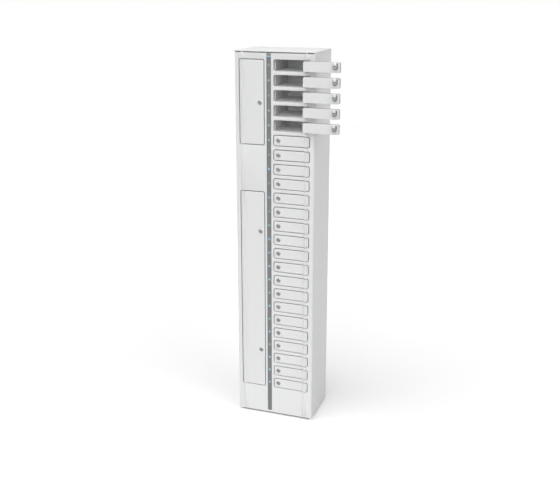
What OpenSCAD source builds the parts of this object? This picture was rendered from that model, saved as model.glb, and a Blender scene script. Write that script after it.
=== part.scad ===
// Tower locker for mobile phones: a ladder front frame with a column of small doors,
// two taller doors beside them, cam locks, full-height hinge rods and a status light strip.
// Model axes: X across the front, Y from the front (negative) to the back, Z up.
// The origin is the centre of the base, on the floor.

/* [Sheet metal] */
// Outer radius of the folded front corners
corner_r = 9; // [6:0.5:12]
// Sheet thickness of the frame and the outer panels
sheet_t = 1.5; // [1:0.1:2]
// Sheet thickness of the shelves, inner walls and door skins
thin_t = 1.2; // [0.8:0.1:1.5]

/* [Base] */
// Height of the recessed plinth
plinth_h = 8; // [6:1:30]
// Setback of the plinth behind the cabinet faces
plinth_inset = 14; // [10:1:30]
// Height of the base skirt
skirt_h = 13; // [10:1:40]
// Radius of the lower edges of the base skirt
skirt_r = 6; // [3:0.5:8]

/* [Top cover] */
// Height of the folded edge of the top cover
cover_edge = 4; // [3:0.5:10]
// Shadow gap between the body's front and the top cover
cover_gap = 4.5; // [2:0.5:10]
// Distance of the neck that carries the cover behind the front face
neck_inset = 20; // [8:0.5:30]
// Width of the neck's ends that close the shadow gap at the front corners
neck_end = 5; // [4:0.5:8]

/* [Front layout] */
// Number of small compartments
rows = 24; // [12:1:28]
// Number of small doors that stand open, from the top
open_rows = 5; // [0:1:10]
// Height of a small door opening
opening_h = 54.4; // [48:0.2:90]
// Height of the rail between two small doors
rail_h = 16.1; // [13:0.1:30]
// Width of a small door opening
opening_w = 183; // [150:1:240]
// Width of the openings for the tall side doors
side_opening_w = 128.8; // [110:0.2:200]
// Corner radius of every door opening
opening_r = 10; // [8:0.5:12]
// Width of the front between a side face and the nearest opening
side_margin = 22; // [18:0.5:30]
// Height of the front panel above the first opening
top_panel_h = 28.5; // [24:0.5:60]
// Height of the front panel below the last opening
bottom_panel_h = 135; // [110:1:200]
// Rows that the upper side door spans
upper_door_rows = 6; // [3:1:8]
// Rows of blank panel between the two side doors
blank_rows = 3; // [1:1:3]
// Depth of the frame's folded returns
return_depth = 26; // [24:0.5:32]
// Width of the lip that the lock cams catch
lip_w = 3.5; // [2.5:0.1:4]

/* [Compartments] */
// Clear depth of a small compartment behind the frame
rack_depth = 200; // [160:1:260]
// Depth of the service space behind the small compartments
service_gap = 26.3; // [15:0.1:60]
// Distance of the rack's side walls outside the opening's edges
rack_setback = 5; // [3:0.5:8]

/* [Doors] */
// Thickness of a door
door_t = 16; // [12:0.5:18]
// Gap round a closed door
door_gap = 3.4; // [2:0.1:4]

/* [Hinges] */
// Distance of the hinge rods from the edge of the openings
hinge_edge = 17; // [15:0.5:24]
// Distance of the hinge rods in front of the front face
hinge_proud = 2; // [1.5:0.1:3]
// Outer radius of the hinge barrels
barrel_r = 6; // [5:0.1:6.5]
// Radius of the hollow curves between barrel and face
cove_r = 8; // [6:0.5:9]
// Radius of the hinge rods
rod_r = 2.5; // [2:0.1:3]
// Radial running clearance of rods and lock plugs
running_clear = 0.05; // [0.03:0.01:0.1]
// Distance that the frame's barrels stand past its cross pieces, into the gap round a door
knuckle_reach = 0.4; // [0.1:0.1:1]
// Gap at the upper and lower end of a hinge line
knuckle_gap = 0.4; // [0.3:0.1:0.8]
// Angle that the open doors stand at
open_angle = 180; // [90:1:180]

/* [Locks] */
// Distance of a small door's lock from the door's free edge
lock_inset = 21.6; // [21:0.1:25]
// Distance of a side door's lock from the door's free edge
side_lock_inset = 20.6; // [20:0.1:25]
// Height of the side door locks from the nearest end of the door opening
side_lock_z = 203.4; // [150:0.2:212]
// Radius of the lock's front collar
collar_r = 11; // [10:0.5:12]
// Height of the collar in front of the door
collar_t = 2.2; // [1.5:0.1:3]
// Radius of the lock body through the door
lock_body_r = 9; // [8:0.5:9.5]
// Half width of the lock case behind the door
case_r = 10.5; // [10:0.5:12]
// Height of the lock case above the lock's centre
case_rise = 13.5; // [12:0.5:16]
// Radius of the turning plug
plug_r = 6; // [5:0.5:7]
// Distance that the plug stands in front of the collar
plug_proud = 0.5; // [0.3:0.1:1]
// Width of the cam's arm
cam_w = 14; // [12:0.5:15]
// Radius of the corners at the cam's tip, which swings past the frame
cam_tip_r = 4; // [3:0.5:5]
// Thickness of the cam
cam_t = 2.5; // [2:0.5:3]
// Gap between the cam and the frame's lip
cam_gap = 1.8; // [1.5:0.1:2.5]
// Side gap between the cam's tip and the frame's return
cam_tip_gap = 0.6; // [0.5:0.1:1]

/* [Light strip] */
// Width of the status light strip
strip_w = 22.6; // [20:0.2:24]
// Width of the front to the left of the strip
left_land = 10.2; // [8:0.2:16]
// Width of the front to the right of the strip
right_land = 11.4; // [8:0.2:16]
// Depth of the channel that holds the strip
channel_depth = 8; // [6:0.5:12]
// Wall thickness of the strip's diffuser
diffuser_t = 1.6; // [1:0.1:2.5]
// Side clearance of the diffuser in its channel
diffuser_clear = 0.3; // [0.2:0.1:0.5]
// Height of a lamp lens above the diffuser's face
lens_t = 0.8; // [0.4:0.1:1.2]
// Radius of a row's lamp lens
lens_r = 4.5; // [3:0.5:6]
// Height of the status bar
status_h = 6; // [4:0.5:10]
// Distance of the status bar above the first opening
status_rise = 10; // [6:0.5:12]

/* [Wall fixing] */
// Radius of the wall fixing holes in the back panel
wall_hole_r = 4.5; // [3:0.5:6]
// Distance between the wall fixing holes across the back
wall_hole_span = 90; // [60:1:106]
// Height of the lower wall fixing holes above the lower bay's floor
wall_hole_low = 94; // [40:1:200]
// Distance of the upper wall fixing holes below the top of the body
wall_hole_high = 110.4; // [40:0.2:200]
// Radius of the cable hole through the grommet
cable_r = 8; // [6:0.5:10]
// Wall thickness of the cable grommet
grommet_t = 3; // [2:0.5:4]
// Height of the cable grommet above the floor
cable_z = 88; // [60:1:110]

/* [Hidden] */
$fn = 48;

// Clearances, overruns and small fixed sizes
overrun = 1;
seam_fit = 0.05;
liner_clear = 0.1;
lock_hole_clear = 0.1;
chamfer = 0.5;
keyway_w = 1.8;
keyway_h = 7.6;
keyway_depth = 3;
plug_end_gap = 0.3;
cam_square_share = 0.66;
cam_hub_rise = 2;
screw_r = 5.6;
screw_h = 3;
board_t = 1.6;
board_share = 0.6;
grommet_flange = 2.5;
grommet_lip = 2;

row_pitch = opening_h + rail_h;

// Overall width and depth
post_w = left_land + strip_w + right_land;
cabinet_w = 2 * side_margin + side_opening_w + post_w + opening_w;
cabinet_d = return_depth + rack_depth + thin_t + service_gap + sheet_t;

// Heights, from the floor
body_z0 = plinth_h + skirt_h;
low_open_z = body_z0 + bottom_panel_h;
first_open_z = low_open_z + (rows - 1) * row_pitch;
body_z1 = first_open_z + opening_h + top_panel_h;
cover_z0 = body_z1 + cover_gap;
cover_z1 = cover_z0 + cover_edge;
body_h = body_z1 - body_z0;

// Places across the front, from the left face
side_x0 = side_margin;
mullion_x0 = side_margin + side_opening_w;
mullion_x1 = mullion_x0 + post_w;
small_x1 = cabinet_w - side_margin;
strip_x0 = mullion_x0 + left_land;
hinge_inset = side_margin + hinge_edge;

// Depths, from the front face
rail_depth = return_depth - sheet_t;
panel_y1 = cabinet_d - sheet_t;
bay_depth = panel_y1 - return_depth - seam_fit;
case_y1 = return_depth + cam_gap - plug_end_gap;
cam_y0 = return_depth + cam_gap;
cam_y1 = cam_y0 + cam_t;

// Doors
door_r = opening_r - door_gap;
door_tail = hinge_edge - door_gap;
small_door_h = opening_h - 2 * door_gap;
small_reach = opening_w - hinge_edge - door_gap;
side_reach = side_opening_w - hinge_edge - door_gap;
upper_span = (upper_door_rows - 1) * row_pitch + opening_h;
lower_rows = rows - upper_door_rows - blank_rows;
lower_span = (lower_rows - 1) * row_pitch + opening_h;
bore_r = rod_r + running_clear;

// Rack
rack_x0 = mullion_x1 - rack_setback;
rack_x1 = small_x1 + rack_setback;
rack_y1 = return_depth + rack_depth;
rack_z1 = first_open_z + row_pitch;
bay_floor_zs = [open_z(upper_door_rows - 1), low_open_z];
bay_ceiling_z = open_z(upper_door_rows + blank_rows) + opening_h;

// Colours
paint_white = [0.90, 0.90, 0.90];
inner_white = [0.82, 0.83, 0.84];
strip_grey = [0.47, 0.48, 0.49];
lock_metal = [0.66, 0.67, 0.69];
rod_steel = [0.56, 0.57, 0.60];

// Height of the lower edge of a small opening, row 0 at the top
function open_z(row) = first_open_z - row * row_pitch;

function pad2(n) = n < 10 ? str("0", n) : str(n);
function door_name(row) = str("compartment_door_", pad2(row + 1));
function cam_name(row) = str("lock_cam_", pad2(row + 1));

// Moves from the corner of the cabinet's front to the model's origin
module in_cabinet() {
    translate([-cabinet_w / 2, -cabinet_d / 2, 0]) children();
}

// Extrudes an outline drawn in X and Z backwards from depth y0 to depth y1
module plate(y0, y1) {
    translate([0, y1, 0]) rotate([90, 0, 0]) linear_extrude(y1 - y0) children();
}

module rounded_outline(w, h, r) {
    translate([r, 0]) square([w - 2 * r, h]);
    translate([0, r]) square([w, h - 2 * r]);
    for (x = [r, w - r], z = [r, h - r]) translate([x, z]) circle(r);
}

// Plan of a hinge barrel with its hollow curves down to the front face
module bead_plan() {
    foot_x = sqrt(pow(barrel_r + cove_r, 2) - pow(cove_r - hinge_proud, 2));
    top_share = barrel_r / (barrel_r + cove_r);
    top_x = foot_x * top_share;
    top_y = -hinge_proud - (cove_r - hinge_proud) * top_share;
    difference() {
        polygon([[-foot_x, 0], [-top_x, top_y], [top_x, top_y], [foot_x, 0],
                 [foot_x, thin_t], [-foot_x, thin_t]]);
        for (side = [-1, 1]) translate([side * foot_x, -cove_r]) circle(cove_r);
    }
    translate([0, -hinge_proud]) circle(barrel_r);
}

module bead(z0, z1) {
    translate([0, 0, z0]) linear_extrude(z1 - z0) bead_plan();
}

// Bore for the hinge rod, along the hinge's axis
module rod_bore(z0, z1) {
    translate([0, -hinge_proud, z0 - overrun]) cylinder(r = bore_r, h = z1 - z0 + 2 * overrun);
}

// Web that rounds the lower corner of an opening, beside a post at X 0
module corner_web() {
    translate([0, 0, seam_fit]) plate(0, rail_depth) difference() {
        square([opening_r, opening_r - seam_fit]);
        translate([opening_r, opening_r - seam_fit]) circle(opening_r - seam_fit);
    }
}

// Both webs of one post along an opening of height h; side is 1 right of the post, 0 left
module opening_webs(x, side, z0, h) {
    translate([x, 0, z0]) mirror([1 - side, 0, 0]) {
        corner_web();
        translate([0, 0, h]) mirror([0, 0, 1]) corner_web();
    }
}

// Folded corner post of the front: front face, rounded corner, side leg and inner return
module stile_plan() {
    difference() {
        union() {
            translate([corner_r, 0]) square([side_margin - corner_r, rail_depth]);
            translate([0, corner_r]) square([corner_r, return_depth - corner_r]);
            translate([corner_r, corner_r]) circle(corner_r);
        }
        union() {
            translate([corner_r, sheet_t])
                square([side_margin - corner_r - sheet_t, rail_depth]);
            translate([sheet_t, corner_r]) square([corner_r, return_depth]);
            translate([corner_r, corner_r]) circle(corner_r - sheet_t);
        }
    }
}

module left_stile() {
    translate([0, 0, body_z0]) linear_extrude(body_h) stile_plan();
    opening_webs(side_x0, 1, open_z(upper_door_rows - 1), upper_span);
    opening_webs(side_x0, 1, low_open_z, lower_span);
}

module right_stile() {
    translate([cabinet_w, 0, body_z0]) mirror([1, 0, 0]) linear_extrude(body_h) stile_plan();
    for (row = [0:rows - 1]) opening_webs(small_x1, 0, open_z(row), opening_h);
}

// Middle post: two returns with lips for the cams, and the channel for the light strip
module mullion_plan() {
    translate([mullion_x0, 0]) {
        difference() {
            square([post_w, channel_depth + sheet_t]);
            translate([left_land, -overrun]) square([strip_w, channel_depth + overrun]);
            translate([sheet_t, sheet_t])
                square([left_land - 2 * sheet_t, channel_depth + overrun]);
            translate([left_land + strip_w + sheet_t, sheet_t])
                square([post_w - left_land - strip_w - 2 * sheet_t, channel_depth + overrun]);
        }
        for (x = [0, post_w - sheet_t]) translate([x, 0]) square([sheet_t, return_depth]);
        translate([-lip_w, rail_depth]) square([lip_w + sheet_t, sheet_t]);
        translate([post_w - sheet_t, rail_depth]) square([lip_w + sheet_t, sheet_t]);
    }
}

module mullion() {
    translate([0, 0, body_z0]) linear_extrude(body_h) mullion_plan();
    for (row = [0:rows - 1]) opening_webs(mullion_x1, 1, open_z(row), opening_h);
    opening_webs(mullion_x0, 0, open_z(upper_door_rows - 1), upper_span);
    opening_webs(mullion_x0, 0, low_open_z, lower_span);
}

// Folded front piece across a column of width w, its post with the lip at X 0, with its part
// of the hinge barrel at hinge_x. The barrel's ends stand clear of the webs behind them.
module front_piece(w, z0, z1, hinge_x, bead_z0, bead_z1) {
    barrel_w = 2 * (barrel_r + cove_r);
    difference() {
        union() {
            translate([seam_fit, 0, z0]) cube([w - 2 * seam_fit, sheet_t, z1 - z0]);
            for (z = [z0, z1 - sheet_t]) translate([seam_fit, 0, z])
                cube([w - 2 * seam_fit, return_depth, sheet_t]);
            translate([hinge_x, 0, 0]) bead(bead_z0, bead_z1);
        }
        translate([hinge_x, 0, 0]) rod_bore(bead_z0, bead_z1);
        for (end = [[bead_z0, z0], [z1, bead_z1]]) if (end[1] > end[0])
            translate([hinge_x - barrel_w / 2, -seam_fit, end[0]])
                cube([barrel_w, thin_t + 2 * seam_fit, end[1] - end[0]]);
        translate([0, rail_depth - seam_fit, z0 - overrun])
            cube([lip_w + seam_fit, return_depth, z1 - z0 + 2 * overrun]);
    }
}

// Front pieces of one column, above, between and below its openings
module front_column(w, hinge_x, openings) {
    last = len(openings) - 1;
    for (i = [0:last]) {
        z0 = openings[i][0] + openings[i][1];
        top = i == 0;
        z1 = top ? body_z1 : openings[i - 1][0];
        front_piece(w, z0, z1, hinge_x,
                    z0 - knuckle_reach, top ? cover_z0 - knuckle_gap : z1 + knuckle_reach);
    }
    front_piece(w, body_z0, openings[last][0], hinge_x,
                body_z0 + knuckle_gap, openings[last][0] + knuckle_reach);
}

module front_frame() {
    color(paint_white) in_cabinet() {
        left_stile();
        mullion();
        right_stile();
        translate([mullion_x0, 0, 0]) mirror([1, 0, 0])
            front_column(side_opening_w, mullion_x0 - hinge_inset,
                         [[open_z(upper_door_rows - 1), upper_span], [low_open_z, lower_span]]);
        translate([mullion_x1, 0, 0])
            front_column(opening_w, cabinet_w - hinge_inset - mullion_x1,
                         [for (row = [0:rows - 1]) [open_z(row), opening_h]]);
    }
}

// Rubber grommet that lines the cable hole, in the plan of its own axis
module grommet() {
    outer_r = cable_r + grommet_t;
    rotate([-90, 0, 0]) rotate_extrude() {
        translate([cable_r, -grommet_lip])
            square([grommet_t - seam_fit, 2 * grommet_lip + sheet_t]);
        for (y = [-grommet_lip - seam_fit, sheet_t + seam_fit])
            translate([cable_r, y]) square([outer_r + grommet_flange - cable_r, grommet_lip]);
    }
}

module back_panel() {
    middle_x = (sheet_t + mullion_x0) / 2;
    difference() {
        translate([0, panel_y1, body_z0]) cube([cabinet_w, sheet_t, body_h]);
        for (x = [-wall_hole_span / 2, wall_hole_span / 2],
             z = [low_open_z + wall_hole_low, body_z1 - wall_hole_high])
            translate([middle_x + x, panel_y1 - overrun, z])
                rotate([-90, 0, 0]) cylinder(r = wall_hole_r, h = sheet_t + 2 * overrun);
        translate([cabinet_w - middle_x, panel_y1 - overrun, cable_z])
            rotate([-90, 0, 0]) cylinder(r = cable_r + grommet_t, h = sheet_t + 2 * overrun);
    }
    translate([cabinet_w - middle_x, panel_y1, cable_z]) grommet();
}

module cabinet_shell() {
    color(paint_white) in_cabinet() {
        for (x = [0, cabinet_w - sheet_t])
            translate([x, return_depth, body_z0]) cube([sheet_t, bay_depth, body_h]);
        translate([sheet_t + seam_fit, return_depth, body_z1 - sheet_t])
            cube([cabinet_w - 2 * (sheet_t + seam_fit), bay_depth, sheet_t]);
        back_panel();
    }
}

// Plan of the neck: flush with the sides and back, set back in front but for its two ends
module neck_plan() {
    difference() {
        union() {
            footprint(0, corner_r);
            translate([0, corner_r]) square([cabinet_w, cabinet_d - corner_r]);
        }
        translate([neck_end, -overrun])
            square([cabinet_w - 2 * neck_end, neck_inset + overrun]);
        translate([sheet_t, neck_inset + sheet_t])
            square([cabinet_w - 2 * sheet_t, cabinet_d - neck_inset - 2 * sheet_t]);
    }
}

// Shallow lid with a folded edge, on a neck that leaves the shadow gap in front
module top_cover() {
    color(paint_white) in_cabinet() {
        difference() {
            translate([0, 0, cover_z0]) cube([cabinet_w, cabinet_d, cover_edge]);
            translate([sheet_t, sheet_t, cover_z0 - overrun])
                cube([cabinet_w - 2 * sheet_t, cabinet_d - 2 * sheet_t,
                      cover_edge - sheet_t + overrun]);
        }
        translate([0, 0, body_z1]) linear_extrude(cover_z1 - sheet_t - body_z1) neck_plan();
    }
}

module footprint(inset, r) {
    translate([inset, inset])
        rounded_outline(cabinet_w - 2 * inset, cabinet_d - 2 * inset, r);
}

// Base pan: footprint with rounded corners, its lower edges rounded in front and side view
module pan_solid(inset) {
    r = skirt_r - inset;
    tall = body_z0 - plinth_h + 2 * skirt_r;
    intersection() {
        translate([0, 0, plinth_h + inset]) linear_extrude(tall) footprint(inset, corner_r - inset);
        translate([inset, 0, plinth_h + inset])
            plate(-overrun, cabinet_d + overrun) rounded_outline(cabinet_w - 2 * inset, tall, r);
        translate([-overrun, inset, plinth_h + inset]) rotate([90, 0, 90])
            linear_extrude(cabinet_w + 2 * overrun) rounded_outline(cabinet_d - 2 * inset, tall, r);
    }
}

module base_plinth() {
    color(paint_white) in_cabinet() {
        difference() {
            linear_extrude(plinth_h) footprint(plinth_inset, corner_r);
            translate([0, 0, sheet_t]) linear_extrude(plinth_h)
                footprint(plinth_inset + sheet_t, corner_r - sheet_t);
        }
        difference() {
            pan_solid(0);
            pan_solid(sheet_t);
            translate([-overrun, -overrun, body_z0])
                cube([cabinet_w + 2 * overrun, cabinet_d + 2 * overrun, body_z0]);
        }
        translate([0, 0, body_z0 - sheet_t]) linear_extrude(sheet_t)
            footprint(sheet_t, corner_r - sheet_t);
    }
}

// Shelves and walls of the small compartments, and the divider and shelves of the side bays
module compartment_rack() {
    rack_z0 = low_open_z - thin_t;
    color(inner_white) in_cabinet() {
        for (row = [0:rows - 1]) rack_shelf(open_z(row) - thin_t);
        rack_shelf(rack_z1 - thin_t);
        for (x = [rack_x0 - thin_t, rack_x1])
            translate([x, return_depth, rack_z0])
                cube([thin_t, rack_depth - seam_fit, rack_z1 - rack_z0]);
        translate([rack_x0 - thin_t, rack_y1, rack_z0])
            cube([rack_x1 - rack_x0 + 2 * thin_t, thin_t, rack_z1 - rack_z0]);
        translate([mullion_x0, return_depth, body_z0])
            cube([thin_t, bay_depth, body_h - sheet_t - seam_fit]);
        for (z = bay_floor_zs) bay_shelf(z - thin_t);
        bay_shelf(bay_ceiling_z);
    }
}

module rack_shelf(z) {
    translate([rack_x0 + seam_fit, return_depth, z])
        cube([rack_x1 - rack_x0 - 2 * seam_fit, rack_depth - seam_fit, thin_t]);
}

module bay_shelf(z) {
    translate([sheet_t, return_depth, z])
        cube([mullion_x0 - sheet_t - seam_fit, bay_depth, thin_t]);
}

// Diffuser channel with its lamp board, a lens for each row and the status bar on top
module light_strip() {
    outer_w = strip_w - 2 * diffuser_clear;
    inner_w = outer_w - 2 * diffuser_t;
    middle_x = strip_x0 + strip_w / 2;
    board_w = inner_w * board_share;
    color(strip_grey) in_cabinet() {
        difference() {
            translate([middle_x - outer_w / 2, lens_t, body_z0])
                cube([outer_w, channel_depth - lens_t, body_h]);
            translate([middle_x - inner_w / 2, lens_t + diffuser_t, body_z0 - overrun])
                cube([inner_w, channel_depth, body_h + 2 * overrun]);
        }
        translate([middle_x - board_w / 2, channel_depth - board_t, body_z0])
            cube([board_w, board_t, body_h]);
        for (row = [0:rows - 1]) translate([middle_x, 0, open_z(row) + opening_h / 2])
            plate(0, lens_t) circle(lens_r);
        translate([middle_x - outer_w / 2, 0, first_open_z + opening_h + status_rise])
            cube([outer_w, lens_t, status_h]);
    }
}

module hinge_rods() {
    color(rod_steel) in_cabinet()
        for (x = [hinge_inset, cabinet_w - hinge_inset])
            translate([x, -hinge_proud, body_z0 + knuckle_gap])
                cylinder(r = rod_r, h = cover_z0 - body_z0 - 2 * knuckle_gap);
}

// Lock body clamped in the door: front collar, round body and the case behind the liner
module lock_body() {
    difference() {
        union() {
            plate(-collar_t + chamfer, -seam_fit) circle(collar_r);
            translate([0, -collar_t + chamfer, 0]) rotate([90, 0, 0])
                cylinder(r1 = collar_r, r2 = collar_r - chamfer, h = chamfer);
            plate(-collar_t + chamfer, case_y1) circle(lock_body_r);
            plate(door_t + seam_fit, case_y1) {
                circle(case_r);
                translate([-case_r, 0]) square([2 * case_r, case_rise]);
            }
        }
        plate(-collar_t - overrun, case_y1 + overrun) circle(plug_r + running_clear);
    }
}

// Turning plug with its keyway, the cam on its square end, and the cam's screw
module lock_cam(cam_len) {
    front_y = -collar_t - plug_proud;
    square_w = 2 * plug_r * cam_square_share;
    hub_r = cam_w / 2 + cam_hub_rise / 2;
    difference() {
        plate(front_y, cam_y0) circle(plug_r);
        plate(front_y - overrun, front_y + keyway_depth)
            translate([-keyway_w / 2, -keyway_h / 2]) square([keyway_w, keyway_h]);
    }
    plate(cam_y0, cam_y1) translate([-square_w / 2, -square_w / 2]) square(square_w);
    plate(cam_y0 + seam_fit, cam_y1) difference() {
        union() {
            circle(hub_r);
            translate([-cam_w / 2, -cam_w / 2])
                rounded_outline(cam_w, cam_w / 2 + cam_len, cam_tip_r);
        }
        translate([-square_w / 2 - seam_fit, -square_w / 2 - seam_fit])
            square(square_w + 2 * seam_fit);
    }
    plate(cam_y1 + seam_fit, cam_y1 + screw_h) circle(screw_r, $fn = 6);
}

// Door in its own frame: hinge rod at X 0, free edge at +reach, lower edge at Z 0
module door(reach, h, lock_x, lock_zs) {
    w = door_tail + reach;
    difference() {
        union() {
            translate([-door_tail, 0, 0]) difference() {
                plate(0, door_t) rounded_outline(w, h, door_r);
                translate([thin_t, 0, thin_t]) plate(thin_t, door_t + overrun)
                    rounded_outline(w - 2 * thin_t, h - 2 * thin_t, door_r - thin_t);
            }
            intersection() {
                bead(0, h);
                translate([-door_tail, 0, 0])
                    plate(-hinge_proud - barrel_r - overrun, door_t) rounded_outline(w, h, door_r);
            }
        }
        rod_bore(0, h);
        for (z = lock_zs) translate([lock_x, 0, z])
            plate(-overrun, thin_t + overrun) circle(lock_body_r + lock_hole_clear);
    }
    liner(w, h, lock_x, lock_zs);
    for (z = lock_zs) translate([lock_x, 0, z]) lock_body();
}

// Flat inner skin, set into the folded edge of the door
module liner(w, h, lock_x, lock_zs) {
    edge = thin_t + liner_clear;
    difference() {
        translate([edge - door_tail, 0, edge]) plate(door_t - thin_t, door_t)
            rounded_outline(w - 2 * edge, h - 2 * edge, door_r - edge);
        for (z = lock_zs) translate([lock_x, 0, z])
            plate(door_t - thin_t - overrun, door_t + overrun)
                circle(lock_body_r + lock_hole_clear);
    }
}

// Places a small door's pieces, mirrored to hinge on the right and turned if the door is open
module at_small_door(row) {
    turn = row < open_rows ? open_angle : 0;
    in_cabinet() translate([cabinet_w - hinge_inset, -hinge_proud, open_z(row) + door_gap])
        rotate([0, 0, turn]) translate([0, hinge_proud, 0]) mirror([1, 0, 0]) children();
}

module at_side_door(z) {
    in_cabinet() translate([hinge_inset, 0, z + door_gap]) children();
}

module compartment_door(row) {
    color(paint_white) at_small_door(row)
        door(small_reach, small_door_h, small_reach - lock_inset, [small_door_h / 2]);
}

module compartment_cam(row) {
    color(lock_metal) at_small_door(row)
        translate([small_reach - lock_inset, 0, small_door_h / 2])
            lock_cam(lock_inset + door_gap - cam_tip_gap);
}

module side_door(z, span, lock_zs) {
    color(paint_white) at_side_door(z)
        door(side_reach, span - 2 * door_gap, side_reach - side_lock_inset,
             [for (lock_z = lock_zs) lock_z - door_gap]);
}

module side_cam(z, lock_z) {
    color(lock_metal) at_side_door(z)
        translate([side_reach - side_lock_inset, 0, lock_z - door_gap])
            lock_cam(side_lock_inset + door_gap - cam_tip_gap);
}

upper_z = open_z(upper_door_rows - 1);
lower_lock_high = lower_span - side_lock_z;

cabinet_shell();
front_frame();
top_cover();
base_plinth();
compartment_rack();
light_strip();
hinge_rods();
side_door(upper_z, upper_span, [upper_span / 2]);  // upper_side_door
side_door(low_open_z, lower_span, [side_lock_z, lower_lock_high]);  // lower_side_door
side_cam(upper_z, upper_span / 2);  // upper_door_cam
side_cam(low_open_z, lower_lock_high);  // lower_door_cam_high
side_cam(low_open_z, side_lock_z);  // lower_door_cam_low
for (row = [0:rows - 1]) {
    compartment_door(row);
    compartment_cam(row);
}
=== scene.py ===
"""Looks of a tall locker tower with small doors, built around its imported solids.

Sizes in the dataclasses are millimetres, measured from the cabinet's front left corner: x across
the front, depth behind the front face, z above the floor. Meshes are in metres in the row frame,
whose origin is the centre of the base, with the front facing -Y.
"""
import logging
import math
from dataclasses import dataclass
from enum import Enum
from typing import Callable, Iterable, Mapping, Sequence

import bmesh
import bpy
from mathutils import Matrix, Vector
from mathutils.geometry import tessellate_polygon


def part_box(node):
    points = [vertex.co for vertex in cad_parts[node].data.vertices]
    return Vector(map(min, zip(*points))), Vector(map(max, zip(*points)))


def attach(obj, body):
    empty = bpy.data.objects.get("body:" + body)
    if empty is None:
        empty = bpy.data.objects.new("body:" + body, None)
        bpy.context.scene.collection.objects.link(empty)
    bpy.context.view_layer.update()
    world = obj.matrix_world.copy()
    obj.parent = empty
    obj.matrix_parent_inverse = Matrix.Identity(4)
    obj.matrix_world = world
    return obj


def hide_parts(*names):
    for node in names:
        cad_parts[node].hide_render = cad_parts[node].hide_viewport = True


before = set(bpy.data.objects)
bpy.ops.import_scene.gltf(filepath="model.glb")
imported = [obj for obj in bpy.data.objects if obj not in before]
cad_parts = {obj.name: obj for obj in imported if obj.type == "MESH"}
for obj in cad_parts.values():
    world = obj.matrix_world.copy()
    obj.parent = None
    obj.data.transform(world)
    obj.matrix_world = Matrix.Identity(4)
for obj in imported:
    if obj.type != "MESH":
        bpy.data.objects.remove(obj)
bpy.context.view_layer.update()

LOG = logging.getLogger("locker")
MM = 0.001
# Distances within which vertices are one: in a sheet's millimetres and in packed metres.
MERGE, MERGE_CAD = 0.005, 1e-6
# Angle up to which neighbouring faces are one flat face, and the least corner radius.
FLAT, LEAST_R = math.radians(0.3), 0.02
# Height of the fine grain of metal and plastic, in metres.
GRAIN_H = 0.0001
REACH = "reach"
Number = float | int
Point = tuple[float, float]


class Lamp(Enum):
    """Colours that a status lamp can show, as linear red, green and blue."""

    OFF = (0.12, 0.12, 0.12)
    PALE = (0.16, 0.24, 0.23)
    TEAL = (0.08, 0.27, 0.22)
    GREEN = (0.03, 0.20, 0.13)
    CYAN = (0.09, 0.29, 0.31)
    SKY = (0.14, 0.34, 0.46)
    BLUE = (0.09, 0.25, 0.41)


LAMPS = (
    Lamp.OFF, Lamp.PALE, Lamp.OFF, Lamp.PALE, Lamp.TEAL, Lamp.TEAL, Lamp.OFF, Lamp.SKY,
    Lamp.OFF, Lamp.BLUE, Lamp.GREEN, Lamp.TEAL, Lamp.BLUE, Lamp.BLUE, Lamp.SKY, Lamp.SKY,
    Lamp.CYAN, Lamp.SKY, Lamp.CYAN, Lamp.SKY, Lamp.TEAL, Lamp.SKY, Lamp.SKY, Lamp.SKY,
)


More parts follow.
